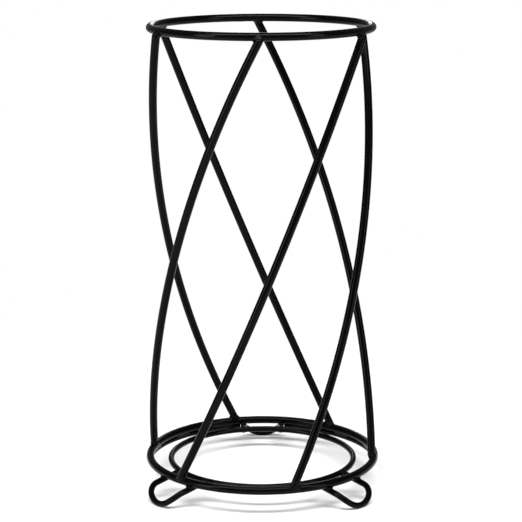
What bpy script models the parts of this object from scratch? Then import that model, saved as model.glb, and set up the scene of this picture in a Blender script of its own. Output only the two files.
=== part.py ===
# Freestanding toilet paper holder, a welded rack of round steel wire.
#
# Two large rings are joined by six slanted rods, each bent to one arc. Three hairpin
# feet run under the base ring and carry a smaller support ring inside it.
# Metres, +Z up, front towards -Y. The origin is on the floor, under the middle of the
# whole rack's box. Angles go clockwise from the front, as seen from above.

import math

import bmesh
import bpy
from mathutils import Matrix, Vector

# Wire
MAIN_WIRE = 0.00635                 # diameter of the rings' and uprights' wire
THIN_WIRE = 0.00476                 # diameter of the support ring's and feet's wire
WELD_GAP = 0.0003                   # left open between pieces that a weld joins

# Rings, each radius to the middle of its wire
TOP_RING_RADIUS = 0.086
BASE_RING_RADIUS = 0.091
SUPPORT_RING_RADIUS = 0.074
RING_SPACING = 0.346                # from the base ring's middle up to the top ring's

# Uprights, whose ends lie a little outside the middle of each ring's wire
UPRIGHT_TOP_DEGREES = (0, 61.5, 115.5, 177, 242.5, 300)
UPRIGHT_TURN_DEGREES = 104.5        # how far round the rack each one goes on its way down
UPRIGHT_BULGE = 0.0284              # how far its arc stands out from its own chord
UPRIGHT_TOP_OFFSET = 0.0035
UPRIGHT_BASE_OFFSET = 0.001

# Feet
FOOT_DEGREES = {"foot_front_left": 49, "foot_rear": 180, "foot_front_right": 314.5}
FOOT_WIDTH = 0.0325                 # between the middles of a hairpin's two arms
FOOT_OVERHANG = 0.0047              # straight arm that passes the base ring before the loop
FOOT_SLOPE_DEGREES = 10             # the arms fall outwards by this angle
FOOT_BEND_RADIUS = 0.0149           # the loop is rolled down on this radius
FOOT_PAD_DEPTH = 0.0004             # worn flat where the loop meets the floor

# Facets
RING_STEPS = 80
RING_SIDES = 12
UPRIGHT_STEPS = 24
UPRIGHT_SIDES = 10
LOOP_STEPS = 26
FOOT_SIDES = 8
SMOOTH_DEGREES = 50                 # facets that meet more gently than this look round
MERGE_SHARE = 0.001                 # of the wire's radius, closer points are one

# Finish
COAT_COLOUR = (0.008, 0.008, 0.009, 1.0)
COAT_ROUGHNESS = 0.42
COAT_METALLIC = 0.0

# Worked out from the sizes above
MAIN_RADIUS = MAIN_WIRE / 2
THIN_RADIUS = THIN_WIRE / 2
FOOT_SLOPE = math.radians(FOOT_SLOPE_DEGREES)
LOOP_RADIUS = FOOT_WIDTH / 2
BEND_REACH = BASE_RING_RADIUS + FOOT_OVERHANG
LOOP_END_ANGLE = FOOT_SLOPE + LOOP_RADIUS / FOOT_BEND_RADIUS
LOOP_DROP = FOOT_BEND_RADIUS * (math.cos(FOOT_SLOPE) - math.cos(LOOP_END_ANGLE))
FOOT_REACH = BEND_REACH + FOOT_BEND_RADIUS * (math.sin(LOOP_END_ANGLE) - math.sin(FOOT_SLOPE))


def reach_of_arm_at(ring_radius):
    """How far out a foot's arm crosses a ring, along the foot's own direction."""
    return math.sqrt(ring_radius ** 2 - LOOP_RADIUS ** 2)


def arm_height(reach):
    """Height of the middle of a foot's arm at this reach."""
    bend_height = THIN_RADIUS - FOOT_PAD_DEPTH + LOOP_DROP
    return bend_height + (BEND_REACH - reach) * math.tan(FOOT_SLOPE)


SUPPORT_REACH = reach_of_arm_at(SUPPORT_RING_RADIUS)
SUPPORT_RING_HEIGHT = arm_height(SUPPORT_REACH)
ARM_TO_BASE_RING = (MAIN_RADIUS + THIN_RADIUS + WELD_GAP) / math.cos(FOOT_SLOPE)
BASE_RING_HEIGHT = arm_height(reach_of_arm_at(BASE_RING_RADIUS)) + ARM_TO_BASE_RING
TOP_RING_HEIGHT = BASE_RING_HEIGHT + RING_SPACING

# The rear foot reaches past the base ring, so the rings' axis lies in front of the box's middle
FRONT_EDGE = BASE_RING_RADIUS + MAIN_RADIUS
REAR_EDGE = FOOT_REACH + THIN_RADIUS
AXIS_Y = (FRONT_EDGE - REAR_EDGE) / 2


def clear_scene():
    for thing in list(bpy.data.objects):
        bpy.data.objects.remove(thing, do_unlink=True)


def new_collection(name):
    collection = bpy.data.collections.new(name)
    bpy.context.scene.collection.children.link(collection)
    return collection


def place(thing, collection, axis):
    """Move an object into its collection and hang it on the rings' axis."""
    for old in thing.users_collection:
        old.objects.unlink(thing)
    collection.objects.link(thing)
    thing.parent = axis


def coat(piece):
    """Give a piece its own black powder-coat material."""
    material = bpy.data.materials.new(piece.name + "_coat")
    material.use_nodes = True
    shader = material.node_tree.nodes["Principled BSDF"]
    shader.inputs["Base Color"].default_value = COAT_COLOUR
    shader.inputs["Roughness"].default_value = COAT_ROUGHNESS
    shader.inputs["Metallic"].default_value = COAT_METALLIC
    piece.data.materials.clear()
    piece.data.materials.append(material)


def polar(radius, degrees, height):
    """A point at an angle clockwise from the front."""
    angle = math.radians(degrees)
    return Vector((-radius * math.sin(angle), -radius * math.cos(angle), height))


def torus(name, ring_radius, wire_radius, height):
    bpy.ops.mesh.primitive_torus_add(
        major_radius=ring_radius, minor_radius=wire_radius,
        major_segments=RING_STEPS, minor_segments=RING_SIDES, location=(0, 0, height))
    ring = bpy.context.object
    ring.name = name
    ring.data.name = name
    ring.data.shade_smooth()
    return ring


def make_ring(name, ring_radius, wire_radius, height, rack, axis):
    ring = torus(name, ring_radius, wire_radius, height)
    place(ring, rack, axis)
    coat(ring)
    return ring


def make_ring_cutter(name, ring_radius, wire_radius, height, cutters, axis):
    """A ring fattened by the weld gap, which shapes the wire ends that meet it."""
    cutter = torus(name, ring_radius, wire_radius + WELD_GAP, height)
    cutter.hide_render = True
    cutter.display_type = "WIRE"
    place(cutter, cutters, axis)
    return cutter


def make_wire(name, points, wire_radius, sides):
    """A round wire through the points, as a closed mesh that can be cut."""
    curve = bpy.data.curves.new(name, "CURVE")
    curve.dimensions = "3D"
    curve.bevel_depth = wire_radius
    curve.bevel_resolution = sides // 2 - 2
    curve.use_fill_caps = True
    spline = curve.splines.new("POLY")
    spline.points.add(len(points) - 1)
    for target, point in zip(spline.points, points):
        target.co = point.to_4d()
    route = bpy.data.objects.new(name + "_route", curve)
    bpy.context.scene.collection.objects.link(route)
    bpy.context.view_layer.update()

    evaluated = route.evaluated_get(bpy.context.evaluated_depsgraph_get())
    mesh = bpy.data.meshes.new_from_object(evaluated)
    mesh.name = name
    bpy.data.objects.remove(route, do_unlink=True)
    welded = bmesh.new()
    welded.from_mesh(mesh)
    bmesh.ops.remove_doubles(welded, verts=welded.verts, dist=wire_radius * MERGE_SHARE)
    bmesh.ops.recalc_face_normals(welded, faces=welded.faces)
    welded.to_mesh(mesh)
    welded.free()
    mesh.shade_smooth()
    mesh.set_sharp_from_angle(angle=math.radians(SMOOTH_DEGREES))
    return bpy.data.objects.new(name, mesh)


def cut(piece, cutter):
    boolean = piece.modifiers.new("clear_of_" + cutter.name, "BOOLEAN")
    boolean.operation = "DIFFERENCE"
    boolean.solver = "EXACT"
    boolean.object = cutter


def upright_points():
    """The arc of an upright whose top is at the front: a chord from ring to ring, bowed outwards."""
    top = polar(TOP_RING_RADIUS + UPRIGHT_TOP_OFFSET, 0, TOP_RING_HEIGHT)
    bottom = polar(BASE_RING_RADIUS + UPRIGHT_BASE_OFFSET, UPRIGHT_TURN_DEGREES, BASE_RING_HEIGHT)
    chord = bottom - top
    along = chord.normalized()
    outwards = polar(1, UPRIGHT_TURN_DEGREES / 2, 0)
    outwards = (outwards - along * outwards.dot(along)).normalized()
    half = chord.length / 2
    arc_radius = (half ** 2 + UPRIGHT_BULGE ** 2) / (2 * UPRIGHT_BULGE)
    half_angle = math.asin(half / arc_radius)
    middle = (top + bottom) / 2
    points = []
    for step in range(UPRIGHT_STEPS + 1):
        angle = half_angle * (2 * step / UPRIGHT_STEPS - 1)
        sideways = arc_radius * (math.cos(angle) - math.cos(half_angle))
        points.append(middle + along * arc_radius * math.sin(angle) + outwards * sideways)
    return points


def make_upright(number, top_degrees, rings, rack, axis):
    upright = make_wire(f"upright_{number}", upright_points(), MAIN_RADIUS, UPRIGHT_SIDES)
    place(upright, rack, axis)
    upright.rotation_euler.z = -math.radians(top_degrees)
    for ring in rings:
        cut(upright, ring)
    coat(upright)
    return upright


def hairpin_point(along, across):
    """Where a point of the flat hairpin comes to lie, with the loop rolled down over its bend.

    along is counted outwards from the start of the loop, across from the foot's middle.
    """
    if along < 0:
        reach = BEND_REACH + along
        return Vector((across, -reach, arm_height(reach)))
    angle = FOOT_SLOPE + along / FOOT_BEND_RADIUS
    reach = BEND_REACH + FOOT_BEND_RADIUS * (math.sin(angle) - math.sin(FOOT_SLOPE))
    drop = FOOT_BEND_RADIUS * (math.cos(FOOT_SLOPE) - math.cos(angle))
    return Vector((across, -reach, arm_height(BEND_REACH) - drop))


def hairpin_points():
    arm_end = SUPPORT_REACH - BEND_REACH
    points = [hairpin_point(arm_end, LOOP_RADIUS)]
    for step in range(LOOP_STEPS + 1):
        turn = math.pi * step / LOOP_STEPS
        points.append(hairpin_point(LOOP_RADIUS * math.sin(turn), LOOP_RADIUS * math.cos(turn)))
    points.append(hairpin_point(arm_end, -LOOP_RADIUS))
    return points


def make_floor_cutter(cutters, axis):
    """A slab under the floor that flattens the lowest spot of each loop."""
    width = 2 * (FOOT_REACH + THIN_WIRE)
    bpy.ops.mesh.primitive_cube_add(size=1, location=(0, 0, -THIN_WIRE / 2))
    slab = bpy.context.object
    slab.name = "floor_slab"
    slab.data.transform(Matrix.Diagonal((width, width, THIN_WIRE, 1)))
    slab.hide_render = True
    slab.display_type = "WIRE"
    place(slab, cutters, axis)
    return slab


def make_foot(name, degrees, cutting, rack, axis):
    foot = make_wire(name, hairpin_points(), THIN_RADIUS, FOOT_SIDES)
    place(foot, rack, axis)
    foot.rotation_euler.z = -math.radians(degrees)
    for cutter in cutting:
        cut(foot, cutter)
    coat(foot)
    return foot


def build():
    clear_scene()
    rack = new_collection("toilet_paper_holder")
    cutters = new_collection("cutters")
    axis = bpy.data.objects.new("ring_axis", None)
    axis.location.y = AXIS_Y
    rack.objects.link(axis)

    make_ring("top_ring", TOP_RING_RADIUS, MAIN_RADIUS, TOP_RING_HEIGHT, rack, axis)
    make_ring("base_ring", BASE_RING_RADIUS, MAIN_RADIUS, BASE_RING_HEIGHT, rack, axis)
    make_ring("support_ring", SUPPORT_RING_RADIUS, THIN_RADIUS, SUPPORT_RING_HEIGHT, rack, axis)

    top_clear = make_ring_cutter(
        "top_ring_clearance", TOP_RING_RADIUS, MAIN_RADIUS, TOP_RING_HEIGHT, cutters, axis)
    base_clear = make_ring_cutter(
        "base_ring_clearance", BASE_RING_RADIUS, MAIN_RADIUS, BASE_RING_HEIGHT, cutters, axis)
    support_clear = make_ring_cutter(
        "support_ring_clearance", SUPPORT_RING_RADIUS, THIN_RADIUS, SUPPORT_RING_HEIGHT, cutters, axis)
    floor = make_floor_cutter(cutters, axis)

    for number, top_degrees in enumerate(UPRIGHT_TOP_DEGREES, start=1):
        make_upright(number, top_degrees, (top_clear, base_clear), rack, axis)
    for name, degrees in FOOT_DEGREES.items():
        make_foot(name, degrees, (support_clear, floor), rack, axis)


build()
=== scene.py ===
import math

import bpy
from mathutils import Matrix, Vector


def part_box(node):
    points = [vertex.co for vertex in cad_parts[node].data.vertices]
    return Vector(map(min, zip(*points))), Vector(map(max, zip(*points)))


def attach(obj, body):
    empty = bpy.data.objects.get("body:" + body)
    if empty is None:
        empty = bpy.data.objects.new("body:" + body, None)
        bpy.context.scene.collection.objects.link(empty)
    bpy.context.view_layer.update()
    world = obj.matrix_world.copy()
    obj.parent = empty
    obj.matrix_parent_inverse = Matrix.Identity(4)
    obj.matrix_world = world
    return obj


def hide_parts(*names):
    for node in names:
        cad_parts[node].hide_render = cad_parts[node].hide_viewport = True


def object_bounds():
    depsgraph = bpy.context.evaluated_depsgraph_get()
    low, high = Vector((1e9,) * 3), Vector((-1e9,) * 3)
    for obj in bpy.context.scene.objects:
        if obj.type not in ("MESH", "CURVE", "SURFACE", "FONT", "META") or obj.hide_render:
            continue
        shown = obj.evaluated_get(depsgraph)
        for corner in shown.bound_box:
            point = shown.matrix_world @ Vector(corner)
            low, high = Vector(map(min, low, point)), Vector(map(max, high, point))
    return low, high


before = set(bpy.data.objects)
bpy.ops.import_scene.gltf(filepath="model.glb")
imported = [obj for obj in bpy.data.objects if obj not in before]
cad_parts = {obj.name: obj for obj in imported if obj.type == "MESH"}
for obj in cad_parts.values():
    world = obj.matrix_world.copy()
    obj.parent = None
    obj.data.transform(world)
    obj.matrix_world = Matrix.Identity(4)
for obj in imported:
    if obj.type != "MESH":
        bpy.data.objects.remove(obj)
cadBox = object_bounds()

# A freestanding rack of welded round steel wire, powder-coated black.
# Lengths are metres, and angles go clockwise from the front as seen from above.

up = Vector((0, 0, 1))


def linearColour(hexCode):
    channels = [int(hexCode[start:start + 2], 16) / 255 for start in (1, 3, 5)]
    return [c / 12.92 if c <= 0.04045 else ((c + 0.055) / 1.055) ** 2.4 for c in channels] + [1.0]


def addNode(tree, kind, inputs=(), **settings):
    # settings are the node's own, and each input is a plain value or a socket to link from
    node = tree.nodes.new(kind)
    for name, value in settings.items():
        setattr(node, name, value)
    for key, value in dict(inputs).items():
        if isinstance(value, bpy.types.NodeSocket):
            tree.links.new(value, node.inputs[key])
        else:
            node.inputs[key].default_value = value
    return node


def startTree(name, sockets):
    # a Geometry Nodes tree with named inputs and one geometry coming out
    tree = bpy.data.node_groups.new(name, "GeometryNodeTree")
    tree.interface.new_socket("Geometry", in_out="OUTPUT", socket_type="NodeSocketGeometry")
    for label, kind in sockets.items():
        tree.interface.new_socket(label, in_out="INPUT", socket_type="NodeSocket" + kind)
    return tree, tree.nodes.new("NodeGroupInput"), tree.nodes.new("NodeGroupOutput")


def endTree(tree, output, geometry, material):
    real = addNode(tree, "GeometryNodeRealizeInstances", {"Geometry": geometry})
    coated = addNode(tree, "GeometryNodeSetMaterial", {"Geometry": real.outputs[0], "Material": material})
    tree.links.new(coated.outputs[0], output.inputs[0])


def runTree(name, tree, data, values):
    # runs the tree on a holder object and keeps the result as a plain mesh
    holder = bpy.data.objects.new(name + "_holder", data)
    bpy.context.scene.collection.objects.link(holder)
    modifier = holder.modifiers.new("build", "NODES")
    modifier.node_group = tree
    sockets = {item.name: item.identifier for item in tree.interface.items_tree if item.in_out == "INPUT"}
    for label, value in values.items():
        modifier[sockets[label]] = value
    bpy.context.view_layer.update()
    evaluated = holder.evaluated_get(bpy.context.evaluated_depsgraph_get())
    mesh = bpy.data.meshes.new_from_object(evaluated)
    bpy.data.objects.remove(holder, do_unlink=True)
    mesh.name = name
    piece = bpy.data.objects.new(name, mesh)
    bpy.context.scene.collection.objects.link(piece)
    return piece


def polar(radius, degrees, height):
    angle = math.radians(degrees)
    return Vector((-radius * math.sin(angle), -radius * math.cos(angle), height))


# Sizes that the frame gives

def readRing(node):
    low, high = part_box(node)
    wireRadius = (high.z - low.z) / 2
    return {"centre": (low + high) / 2, "wireRadius": wireRadius, "radius": (high.x - low.x) / 2 - wireRadius}


rings = {name: readRing(name) for name in ("top_ring", "base_ring", "support_ring")}
topRing, baseRing, supportRing = rings.values()
axis = Vector((topRing["centre"].x, topRing["centre"].y, 0))
print("frame read: rings", [round(1000 * ring["radius"], 2) for ring in rings.values()], "mm in radius")


# Powder coat
# Satin black polyester powder, sprayed dry on blasted steel wire and baked until it flows.
# It gives the eye a deep black with a soft broad sheen, faint orange peel and fine pinhead grain.

powderCoat = {
    "colour": "#030303",
    "dustColour": "#070707",
    "steelColour": "#8d8c88",   # bare steel, where the pads have rubbed through
    "specularLevel": 0.06,      # matting agents in the powder scatter most of the surface's shine
    "roughness": 0.17,
    "roughnessSpread": 0.04,
    "peelSize": 0.0021,         # from crest to crest of the orange peel
    "peelHeight": 0.000022,
    "grainSize": 0.00055,       # powder grain is about 0.05 mm, drawn coarser so that it shows
    "grainHeight": 0.000007,
    "patchSize": 0.030,         # slow change in how well the coat flowed
    "patchLevels": (0.3, 0.7),  # about the lowest and highest that the patches' noise gets
    "dustLevels": (0.5, 0.75),  # where dust starts in the patches, and where it is thickest
    "dustShare": 0.6,
    "rubHeight": 0.00022,       # how far up from the floor the rub reaches
}


def makePowderCoat(name):
    coat = bpy.data.materials.new(name)
    coat.use_nodes = True
    tree = coat.node_tree
    shader = tree.nodes["Principled BSDF"]
    shader.inputs["IOR"].default_value = 1.5
    shader.inputs["Specular IOR Level"].default_value = powderCoat["specularLevel"]
    place = addNode(tree, "ShaderNodeTexCoord").outputs["Object"]

    patches = addNode(tree, "ShaderNodeTexNoise", {
        "Vector": place, "Scale": 1 / powderCoat["patchSize"], "Detail": 3.0, "Roughness": 0.55})
    peel = addNode(tree, "ShaderNodeTexNoise", {
        "Vector": place, "Scale": 1 / powderCoat["peelSize"], "Detail": 1.0, "Roughness": 0.4})
    grain = addNode(tree, "ShaderNodeTexVoronoi", {
        "Vector": place, "Scale": 1 / powderCoat["grainSize"]}, feature="SMOOTH_F1")

    # a trace of grey where the coat is thin or dusty
    dustStart, dustEnd = powderCoat["dustLevels"]
    dust = addNode(tree, "ShaderNodeMapRange", {
        "Value": patches.outputs["Fac"], "From Min": dustStart, "From Max": dustEnd,
        "To Min": 0.0, "To Max": powderCoat["dustShare"]})
    black = addNode(tree, "ShaderNodeMix", {
        "Factor": dust.outputs[0], "A": linearColour(powderCoat["colour"]),
        "B": linearColour(powderCoat["dustColour"])}, data_type="RGBA")

    # bare steel on the pads, which only the lowest part of a foot reaches
    height = addNode(tree, "ShaderNodeSeparateXYZ", {"Vector": place}).outputs["Z"]
    scuffs = addNode(tree, "ShaderNodeTexNoise", {
        "Vector": place, "Scale": 1 / powderCoat["peelSize"], "Detail": 4.0, "Roughness": 0.7})
    raggedEdge = addNode(tree, "ShaderNodeMath", {
        0: scuffs.outputs["Fac"], 1: powderCoat["rubHeight"]}, operation="MULTIPLY")
    rubbed = addNode(tree, "ShaderNodeMath", {0: raggedEdge.outputs[0], 1: height}, operation="GREATER_THAN")
    colour = addNode(tree, "ShaderNodeMix", {
        "Factor": rubbed.outputs[0], "A": black.outputs[2],
        "B": linearColour(powderCoat["steelColour"])}, data_type="RGBA")
    tree.links.new(colour.outputs[2], shader.inputs["Base Color"])
    tree.links.new(rubbed.outputs[0], shader.inputs["Metallic"])

    patchLow, patchHigh = powderCoat["patchLevels"]
    roughness = addNode(tree, "ShaderNodeMapRange", {
        "Value": patches.outputs["Fac"], "From Min": patchLow, "From Max": patchHigh,
        "To Min": powderCoat["roughness"] - powderCoat["roughnessSpread"],
        "To Max": powderCoat["roughness"] + powderCoat["roughnessSpread"]})
    tree.links.new(roughness.outputs[0], shader.inputs["Roughness"])

    peelBump = addNode(tree, "ShaderNodeBump", {
        "Height": peel.outputs["Fac"], "Distance": powderCoat["peelHeight"], "Strength": 1.0})
    grainBump = addNode(tree, "ShaderNodeBump", {
        "Height": grain.outputs["Distance"], "Distance": powderCoat["grainHeight"], "Strength": 1.0,
        "Normal": peelBump.outputs[0]})
    tree.links.new(grainBump.outputs[0], shader.inputs["Normal"])
    return coat


blackPowderCoat = makePowderCoat("powder_coat_satin_black")
print("material: satin black powder coat")


# Wire
# One tree draws every wire: it sweeps a round section along a route, swells it a little at a ring's
# butt weld or rounds off its cut ends, and grinds it flat at the floor and at the rack's top.

wireLooks = {
    "sides": 32,
    "ringSteps": 288,
    "rodSteps": 90,
    "loopSteps": 64,
    "seamSwell": 0.045,         # share of the wire's radius that stands proud at a ring's butt weld
    "seamLength": 0.0022,
    "seamShare": 0.47,          # how far round from the front each ring was closed
    "endLength": 0.0016,        # over which a cut end is rounded off
    "endShare": 0.68,           # of the wire's radius that is left at the cut
    "endSteps": (0.15, 0.3, 0.5, 0.75, 1.0),
}


def makeWireTree():
    tree, given, output = startTree("sweep_wire", {
        "Route": "Geometry", "Wire Radius": "Float", "Sides": "Int", "Seam At": "Float",
        "Seam Length": "Float", "Seam Swell": "Float", "End Length": "Float", "End Share": "Float",
        "Floor Height": "Float", "Top Height": "Float", "Coat": "Material"})
    along = addNode(tree, "GeometryNodeSplineParameter")
    fromSeam = addNode(tree, "ShaderNodeMath", {
        0: along.outputs["Length"], 1: given.outputs["Seam At"]}, operation="SUBTRACT")
    widths = addNode(tree, "ShaderNodeMath", {
        0: fromSeam.outputs[0], 1: given.outputs["Seam Length"]}, operation="DIVIDE")
    squared = addNode(tree, "ShaderNodeMath", {0: widths.outputs[0], 1: 2.0}, operation="POWER")
    negative = addNode(tree, "ShaderNodeMath", {0: squared.outputs[0], 1: -1.0}, operation="MULTIPLY")
    bell = addNode(tree, "ShaderNodeMath", {0: negative.outputs[0]}, operation="EXPONENT")
    swell = addNode(tree, "ShaderNodeMath", {
        0: bell.outputs[0], 1: given.outputs["Seam Swell"], 2: 1.0}, operation="MULTIPLY_ADD")

    whole = addNode(tree, "GeometryNodeSplineLength")
    rest = addNode(tree, "ShaderNodeMath", {
        0: whole.outputs["Length"], 1: along.outputs["Length"]}, operation="SUBTRACT")
    toEnd = addNode(tree, "ShaderNodeMath", {0: along.outputs["Length"], 1: rest.outputs[0]}, operation="MINIMUM")
    rounding = addNode(tree, "ShaderNodeMapRange", {
        "Value": toEnd.outputs[0], "From Max": given.outputs["End Length"],
        "To Min": given.outputs["End Share"], "To Max": 1.0}, interpolation_type="SMOOTHERSTEP")
    shape = addNode(tree, "ShaderNodeMath", {
        0: swell.outputs[0], 1: rounding.outputs[0]}, operation="MULTIPLY")
    scaled = addNode(tree, "ShaderNodeMath", {
        0: shape.outputs[0], 1: given.outputs["Wire Radius"]}, operation="MULTIPLY")

    circle = addNode(tree, "GeometryNodeCurvePrimitiveCircle", {
        "Resolution": given.outputs["Sides"], "Radius": 1.0}, mode="RADIUS")
    swept = addNode(tree, "GeometryNodeCurveToMesh", {
        "Curve": given.outputs["Route"], "Profile Curve": circle.outputs["Curve"], "Fill Caps": True,
        "Scale": scaled.outputs[0]})

    place = addNode(tree, "GeometryNodeInputPosition")
    parts = addNode(tree, "ShaderNodeSeparateXYZ", {"Vector": place.outputs[0]})
    height = addNode(tree, "ShaderNodeClamp", {
        "Value": parts.outputs["Z"], "Min": given.outputs["Floor Height"], "Max": given.outputs["Top Height"]})
    ground = addNode(tree, "ShaderNodeCombineXYZ", {
        "X": parts.outputs["X"], "Y": parts.outputs["Y"], "Z": height.outputs[0]})
    flattened = addNode(tree, "GeometryNodeSetPosition", {
        "Geometry": swept.outputs[0], "Position": ground.outputs[0]})
    smooth = addNode(tree, "GeometryNodeSetShadeSmooth", {
        "Geometry": flattened.outputs[0], "Shade Smooth": True})
    endTree(tree, output, smooth.outputs[0], given.outputs["Coat"])
    return tree


wireTree = makeWireTree()


def routeCurve(name, points, closed=False):
    curve = bpy.data.curves.new(name, "CURVE")
    curve.dimensions = "3D"
    curve.twist_mode = "MINIMUM"
    spline = curve.splines.new("POLY")
    spline.points.add(len(points) - 1)
    for target, point in zip(spline.points, points):
        target.co = (axis + point).to_4d()
    spline.use_cyclic_u = closed
    return curve


def closeToEnds(points):
    # more points where an open wire's ends are rounded off
    steps = [wireLooks["endLength"] * share for share in wireLooks["endSteps"]]
    start = [points[0] + (points[1] - points[0]).normalized() * step for step in steps]
    end = [points[-1] + (points[-2] - points[-1]).normalized() * step for step in reversed(steps)]
    return points[:1] + start + points[1:-1] + end + points[-1:]


def drawWire(name, points, wireRadius, closed=False):
    length = sum((b - a).length for a, b in zip(points, points[1:]))
    if not closed:
        points = closeToEnds(points)
    values = {
        "Wire Radius": wireRadius, "Sides": wireLooks["sides"], "Seam Length": wireLooks["seamLength"],
        "Seam At": wireLooks["seamShare"] * length, "Seam Swell": wireLooks["seamSwell"] if closed else 0.0,
        "End Length": wireLooks["endLength"], "End Share": 1.0 if closed else wireLooks["endShare"],
        "Floor Height": 0.0, "Top Height": cadBox[1][2], "Coat": blackPowderCoat}
    return runTree(name, wireTree, routeCurve(name + "_route", points, closed), values)


# Rings

def ringPoints(ring):
    steps = wireLooks["ringSteps"]
    return [polar(ring["radius"], 360 * step / steps, ring["centre"].z) for step in range(steps)]


# Upright rods, each bent to one arc that leans round the rack as it comes down

rods = {
    "topDegrees": (0, 61.5, 115.5, 177, 242.5, 300),
    "turnDegrees": 104.5,
    "bulge": 0.0284,            # how far the arc stands out from its chord
    "topOffset": 0.0035,        # the ends lie this far outside the middle of each ring's wire
    "baseOffset": 0.001,
    "topTrim": 0.0042,          # each end stops short by this, and its weld rounds it off
    "baseTrim": 0.0040,
    "strays": {                 # hand bending: how far a rod's lower end strays, in degrees and outwards
        "upright_4": (-1.5, -0.0024),
        "upright_5": (-1.5, 0.0),
    },
    "strayPower": 4,            # how much of it keeps to the lower end
}


def rodPoints(topDegrees, strayDegrees, strayOutwards):
    top = polar(topRing["radius"] + rods["topOffset"], topDegrees, topRing["centre"].z)
    baseDegrees = topDegrees + rods["turnDegrees"]
    bottom = polar(baseRing["radius"] + rods["baseOffset"], baseDegrees, baseRing["centre"].z)
    along = (bottom - top).normalized()
    outwards = polar(1, topDegrees + rods["turnDegrees"] / 2, 0)
    outwards = (outwards - along * outwards.dot(along)).normalized()
    half = (bottom - top).length / 2
    arcRadius = (half ** 2 + rods["bulge"] ** 2) / (2 * rods["bulge"])
    halfAngle = math.asin(half / arcRadius)
    first = rods["topTrim"] / arcRadius - halfAngle
    last = halfAngle - rods["baseTrim"] / arcRadius
    endRadius = baseRing["radius"] + rods["baseOffset"] + strayOutwards
    stray = polar(endRadius, baseDegrees + strayDegrees, bottom.z) - bottom
    points = []
    for step in range(wireLooks["rodSteps"] + 1):
        share = step / wireLooks["rodSteps"]
        angle = first + (last - first) * share
        sideways = arcRadius * (math.cos(angle) - math.cos(halfAngle))
        onArc = (top + bottom) / 2 + along * arcRadius * math.sin(angle) + outwards * sideways
        points.append(onArc + stray * share ** rods["strayPower"])
    return points


# Hairpin feet, with their loops rolled down to the floor

hairpins = {
    "degrees": {"foot_front_left": 49, "foot_rear": 180, "foot_front_right": 314.5},
    "width": 0.0325,            # between the middles of the two arms
    "overhang": 0.0047,         # straight arm past the base ring
    "slopeDegrees": 10,
    "bendRadius": 0.0149,
    "padDepth": 0.0004,         # worn away under the loop
    "endTrim": 0.0022,          # each arm stops short of the support ring's middle by this
}


def hairpinPoints(degrees):
    slope = math.radians(hairpins["slopeDegrees"])
    bend = hairpins["bendRadius"]
    loopRadius = hairpins["width"] / 2
    wireRadius = supportRing["wireRadius"]
    bendReach = baseRing["radius"] + hairpins["overhang"]
    lowestAngle = slope + loopRadius / bend
    bendHeight = wireRadius - hairpins["padDepth"] + bend * (math.cos(slope) - math.cos(lowestAngle))
    armEnd = math.sqrt(supportRing["radius"] ** 2 - loopRadius ** 2) - bendReach + hairpins["endTrim"]

    def lay(along, across):
        if along < 0:
            reach = bendReach + along
            height = bendHeight - along * math.tan(slope)
        else:
            angle = slope + along / bend
            reach = bendReach + bend * (math.sin(angle) - math.sin(slope))
            height = bendHeight - bend * (math.cos(slope) - math.cos(angle))
        return polar(reach, degrees, height) + across * polar(1, degrees - 90, 0)

    steps = wireLooks["loopSteps"]
    turns = [math.pi * step / steps for step in range(steps + 1)]
    loop = [lay(loopRadius * math.sin(turn), loopRadius * math.cos(turn)) for turn in turns]
    return [lay(armEnd, loopRadius)] + loop + [lay(armEnd, -loopRadius)]


# Stiffening arcs of thin wire under the back half of the base ring, up to the rear foot's arms

stiffeners = {
    "degrees": {"stiffener_left": (96, 168), "stiffener_right": (192, 264)},
    "radius": 0.0922,
    "drop": 0.0054,             # from the middle of the base ring's wire to the middle of this one
    "steps": 72,
    "weldStep": 10,             # welds stand this many steps in, so that the cut ends stay bare
}


def stiffenerPoints(first, last):
    height = baseRing["centre"].z - stiffeners["drop"]
    steps = stiffeners["steps"]
    return [polar(stiffeners["radius"], first + (last - first) * step / steps, height) for step in range(steps + 1)]


routes = {}
wireRadii = {}
for name, ring in rings.items():
    routes[name] = ringPoints(ring)
    wireRadii[name] = ring["wireRadius"]
for number, topDegrees in enumerate(rods["topDegrees"], start=1):
    name = f"upright_{number}"
    routes[name] = rodPoints(topDegrees, *rods["strays"].get(name, (0.0, 0.0)))
    wireRadii[name] = topRing["wireRadius"]
for name, degrees in hairpins["degrees"].items():
    routes[name] = hairpinPoints(degrees)
    wireRadii[name] = supportRing["wireRadius"]

cadNodes = list(routes)
for name, (first, last) in stiffeners["degrees"].items():
    routes[name] = stiffenerPoints(first, last)
    wireRadii[name] = supportRing["wireRadius"]

wires = []
for name, points in routes.items():
    wire = drawWire(name + "_wire", points, wireRadii[name], closed=name in rings)
    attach(wire, "root")
    if name in cadNodes:
        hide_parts(name)
    wires.append(wire)
print("wires:", len(wires), "pieces,", sum(len(wire.data.polygons) for wire in wires), "faces")


# Welds
# Each weld is the level surface of a field: the two wires' distances, blended softly so that they
# run together in a fillet, with a bead's ripple where they meet.

welds = {
    "reach": 0.0105,            # half the size of the box that a weld is worked out in
    "fadeStart": 0.0060,        # from the weld's middle, where two wires lie along each other
    "fadeEnd": 0.0095,
    "voxels": 60,
    "blend": 0.0021,            # how far apart two surfaces start to run together
    "inset": 0.00002,           # away from the fillet the surface hides this far inside the wires
    "rippleSize": 0.0017,
    "rippleHeight": 0.0008,
}


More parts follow.
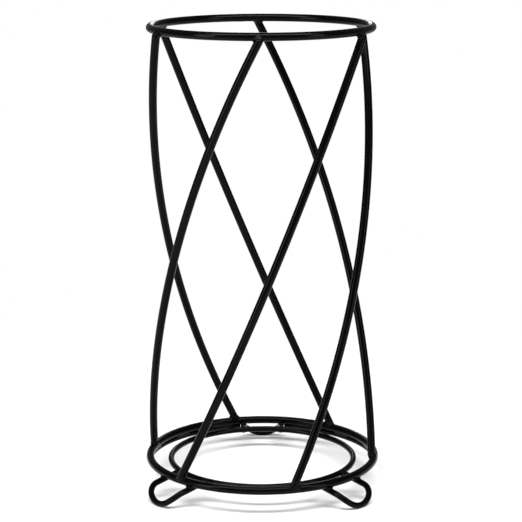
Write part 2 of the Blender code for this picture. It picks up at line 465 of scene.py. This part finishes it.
def makeWeldTree():
    tree, given, output = startTree("weld_fillet", {
        "First Wire": "Object", "First Radius": "Float", "Second Wire": "Object", "Second Radius": "Float",
        "Middle": "Vector", "Low Corner": "Vector", "High Corner": "Vector", "Voxels": "Int",
        "Fade Start": "Float", "Fade End": "Float", "Blend": "Float", "Inset": "Float",
        "Ripple Size": "Float", "Ripple Height": "Float", "Coat": "Material"})
    distances = []
    for which in ("First", "Second"):
        wire = addNode(tree, "GeometryNodeObjectInfo", {"Object": given.outputs[which + " Wire"]})
        line = addNode(tree, "GeometryNodeCurveToMesh", {"Curve": wire.outputs["Geometry"]})
        near = addNode(tree, "GeometryNodeProximity", {"Geometry": line.outputs[0]}, target_element="EDGES")
        surface = addNode(tree, "ShaderNodeMath", {
            0: near.outputs["Distance"], 1: given.outputs[which + " Radius"]}, operation="SUBTRACT")
        distances.append(surface.outputs[0])

    apart = addNode(tree, "ShaderNodeMath", {0: distances[0], 1: distances[1]}, operation="SUBTRACT")
    gap = addNode(tree, "ShaderNodeMath", {0: apart.outputs[0]}, operation="ABSOLUTE")
    overlap = addNode(tree, "ShaderNodeMath", {0: given.outputs["Blend"], 1: gap.outputs[0]}, operation="SUBTRACT")
    share = addNode(tree, "ShaderNodeMath", {
        0: overlap.outputs[0], 1: given.outputs["Blend"]}, operation="DIVIDE", use_clamp=True)
    squared = addNode(tree, "ShaderNodeMath", {0: share.outputs[0], 1: 2.0}, operation="POWER")
    quarter = addNode(tree, "ShaderNodeMath", {0: given.outputs["Blend"], 1: 0.25}, operation="MULTIPLY")
    place = addNode(tree, "GeometryNodeInputPosition")
    rippleScale = addNode(tree, "ShaderNodeMath", {0: 1.0, 1: given.outputs["Ripple Size"]}, operation="DIVIDE")
    ripple = addNode(tree, "ShaderNodeTexNoise", {
        "Vector": place.outputs[0], "Scale": rippleScale.outputs[0], "Detail": 1.0})
    bead = addNode(tree, "ShaderNodeMath", {
        0: ripple.outputs["Fac"], 1: given.outputs["Ripple Height"], 2: quarter.outputs[0]},
        operation="MULTIPLY_ADD")
    fromMiddle = addNode(tree, "ShaderNodeVectorMath", {
        0: place.outputs[0], 1: given.outputs["Middle"]}, operation="DISTANCE")
    fade = addNode(tree, "ShaderNodeMapRange", {
        "Value": fromMiddle.outputs["Value"], "From Min": given.outputs["Fade Start"],
        "From Max": given.outputs["Fade End"], "To Min": 1.0, "To Max": 0.0})
    faded = addNode(tree, "ShaderNodeMath", {0: squared.outputs[0], 1: fade.outputs[0]}, operation="MULTIPLY")
    fillet = addNode(tree, "ShaderNodeMath", {0: faded.outputs[0], 1: bead.outputs[0]}, operation="MULTIPLY")
    nearest = addNode(tree, "ShaderNodeMath", {0: distances[0], 1: distances[1]}, operation="MINIMUM")
    inside = addNode(tree, "ShaderNodeMath", {
        0: fillet.outputs[0], 1: nearest.outputs[0]}, operation="SUBTRACT")

    cloud = addNode(tree, "GeometryNodeVolumeCube", {
        "Density": inside.outputs[0], "Background": 0.0, "Min": given.outputs["Low Corner"],
        "Max": given.outputs["High Corner"], "Resolution X": given.outputs["Voxels"],
        "Resolution Y": given.outputs["Voxels"], "Resolution Z": given.outputs["Voxels"]})
    skin = addNode(tree, "GeometryNodeVolumeToMesh", {
        "Volume": cloud.outputs[0], "Threshold": given.outputs["Inset"], "Adaptivity": 0.0})
    smooth = addNode(tree, "GeometryNodeSetShadeSmooth", {"Geometry": skin.outputs[0], "Shade Smooth": True})
    endTree(tree, output, smooth.outputs[0], given.outputs["Coat"])
    return tree


weldTree = makeWeldTree()


def drawWeld(name, firstNode, secondNode, centre):
    holders = {}
    for label, node in (("First", firstNode), ("Second", secondNode)):
        route = bpy.data.objects.new(name + "_" + node, routeCurve(name + "_" + node, routes[node], node in rings))
        bpy.context.scene.collection.objects.link(route)
        holders[label] = route
    corner = Vector((welds["reach"],) * 3)
    values = {
        "First Wire": holders["First"], "First Radius": wireRadii[firstNode],
        "Second Wire": holders["Second"], "Second Radius": wireRadii[secondNode],
        "Middle": axis + centre, "Low Corner": axis + centre - corner, "High Corner": axis + centre + corner,
        "Fade Start": welds["fadeStart"], "Fade End": welds["fadeEnd"],
        "Voxels": welds["voxels"], "Blend": welds["blend"], "Inset": welds["inset"],
        "Ripple Size": welds["rippleSize"], "Ripple Height": welds["rippleHeight"], "Coat": blackPowderCoat}
    weld = runTree(name, weldTree, bpy.data.meshes.new(name + "_empty"), values)
    for route in holders.values():
        bpy.data.objects.remove(route, do_unlink=True)
    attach(weld, "root")
    return weld


def underRing(inner, outer, ring):
    # between a ring's wire and the straight arm that passes under it
    along = outer - inner
    a = along.xy.length_squared
    b = inner.xy.dot(along.xy)
    c = inner.xy.length_squared - ring["radius"] ** 2
    arm = inner + along * (math.sqrt(b * b - a * c) - b) / a
    return Vector((arm.x, arm.y, (arm.z + ring["centre"].z) / 2))


weldPieces = []
for number in range(1, len(rods["topDegrees"]) + 1):
    rod = f"upright_{number}"
    weldPieces.append(drawWeld(f"weld_{rod}_top", rod, "top_ring", routes[rod][0]))
    weldPieces.append(drawWeld(f"weld_{rod}_base", rod, "base_ring", routes[rod][-1]))
for foot in hairpins["degrees"]:
    route = routes[foot]
    for side, inner, outer in (("first", route[0], route[1]), ("second", route[-1], route[-2])):
        weldPieces.append(drawWeld(f"weld_{foot}_{side}_arm", foot, "base_ring", underRing(inner, outer, baseRing)))
        weldPieces.append(drawWeld(f"weld_{foot}_{side}_end", foot, "support_ring", inner))
for name in stiffeners["degrees"]:
    first, last = stiffeners["weldStep"], stiffeners["steps"] - stiffeners["weldStep"]
    for place, step in (("start", first), ("middle", stiffeners["steps"] // 2), ("end", last)):
        centre = routes[name][step] + Vector((0, 0, stiffeners["drop"] / 2))
        weldPieces.append(drawWeld(f"weld_{name}_{place}", name, "base_ring", centre))
print("welds:", len(weldPieces), "pieces,", sum(len(weld.data.polygons) for weld in weldPieces), "faces")


# Floor and light
# White paper that is lit like the rack, and far away fades to plain white instead of a horizon.

studio = {
    "floorSize": 40.0,
    "floorColour": "#fcfcfb",
    "floorRoughness": 0.7,
    "fadeStart": 0.22,          # from the rack's middle
    "fadeEnd": 0.6,
    "worldStrength": 0.2,
    "mirroredStrength": 0.18,   # of the white that surrounds the rack, in what mirrors it
    "lamps": {
        # name: place, aimed at, width, height, watts
        "overhead": ((0.0, -0.55, 1.42), (0.0, 0.0, 0.35), 2.0, 0.5, 36),
        "left": ((-1.0, -0.7, 0.45), (0.0, 0.0, 0.2), 0.4, 0.8, 7.3),
        "right": ((1.0, -0.7, 0.45), (0.0, 0.0, 0.2), 0.3, 0.8, 3.3),
        "behind": ((0.0, 1.3, 0.64), (0.0, 0.0, 0.36), 0.3, 0.36, 1.1),
    },
}


def makeFloor():
    bpy.ops.mesh.primitive_plane_add(size=studio["floorSize"])
    floor = bpy.context.object
    floor.name = "floor"
    paper = bpy.data.materials.new("matt_white_paper")
    paper.use_nodes = True
    tree = paper.node_tree
    shader = tree.nodes["Principled BSDF"]
    shader.inputs["Base Color"].default_value = linearColour(studio["floorColour"])
    shader.inputs["Roughness"].default_value = studio["floorRoughness"]

    place = addNode(tree, "ShaderNodeTexCoord").outputs["Object"]
    away = addNode(tree, "ShaderNodeVectorMath", {0: place}, operation="LENGTH")
    far = addNode(tree, "ShaderNodeMapRange", {
        "Value": away.outputs["Value"], "From Min": studio["fadeStart"], "From Max": studio["fadeEnd"]})
    rays = addNode(tree, "ShaderNodeLightPath").outputs
    fade = addNode(tree, "ShaderNodeMath", {0: far.outputs[0], 1: rays["Is Camera Ray"]}, operation="MULTIPLY")
    white = addNode(tree, "ShaderNodeEmission", {"Color": linearColour("#ffffff"), "Strength": 1.0})
    faded = addNode(tree, "ShaderNodeMixShader", {
        0: fade.outputs[0], 1: shader.outputs[0], 2: white.outputs[0]})
    tree.links.new(faded.outputs[0], tree.nodes["Material Output"].inputs["Surface"])
    floor.data.materials.append(paper)


def makeWorld():
    world = bpy.data.worlds.new("studio")
    world.use_nodes = True
    tree = world.node_tree
    background = tree.nodes["Background"]
    background.inputs["Color"].default_value = linearColour("#ffffff")
    # full white to the eye, and a share of it for the rays that mirror it
    rays = addNode(tree, "ShaderNodeLightPath").outputs
    mirrored = addNode(tree, "ShaderNodeMath", {
        0: rays["Is Glossy Ray"], 1: rays["Is Transmission Ray"]}, operation="MAXIMUM")
    dimmed = addNode(tree, "ShaderNodeMapRange", {
        "Value": mirrored.outputs[0], "To Min": studio["worldStrength"], "To Max": studio["mirroredStrength"]})
    strength = addNode(tree, "ShaderNodeMath", {
        0: rays["Is Camera Ray"], 1: dimmed.outputs[0]}, operation="MAXIMUM")
    tree.links.new(strength.outputs[0], background.inputs["Strength"])
    bpy.context.scene.world = world


def makeLamps():
    for name, (place, target, width, height, watts) in studio["lamps"].items():
        lamp = bpy.data.lights.new(name, "AREA")
        lamp.shape = "RECTANGLE"
        lamp.size = width
        lamp.size_y = height
        lamp.energy = watts
        holder = bpy.data.objects.new(name, lamp)
        holder.location = place
        holder.rotation_euler = (Vector(target) - Vector(place)).to_track_quat("-Z", "Y").to_euler()
        bpy.context.scene.collection.objects.link(holder)


makeFloor()
makeWorld()
makeLamps()


# Camera, where the photograph was taken from

camera = {
    "lens": 124.54,
    "distance": 1.404,          # in front of the rings' axis
    "aboveTopRing": 0.1221,
    "sideways": 0.0013,
    "downDegrees": 12.367,
    "leftDegrees": 0.044,
    "tiltDegrees": 0.15,
}

lensData = bpy.data.cameras.new("camera")
lensData.lens = camera["lens"]
viewer = bpy.data.objects.new("camera", lensData)
viewer.location = axis + Vector((
    camera["sideways"], -camera["distance"], topRing["centre"].z + camera["aboveTopRing"]))
viewer.rotation_euler = [math.radians(degrees) for degrees in (
    90 - camera["downDegrees"], camera["tiltDegrees"], camera["leftDegrees"])]
bpy.context.scene.collection.objects.link(viewer)
bpy.context.scene.camera = viewer
bpy.context.scene.view_settings.view_transform = "Standard"
print("studio: floor, world,", len(studio["lamps"]), "lamps and camera")
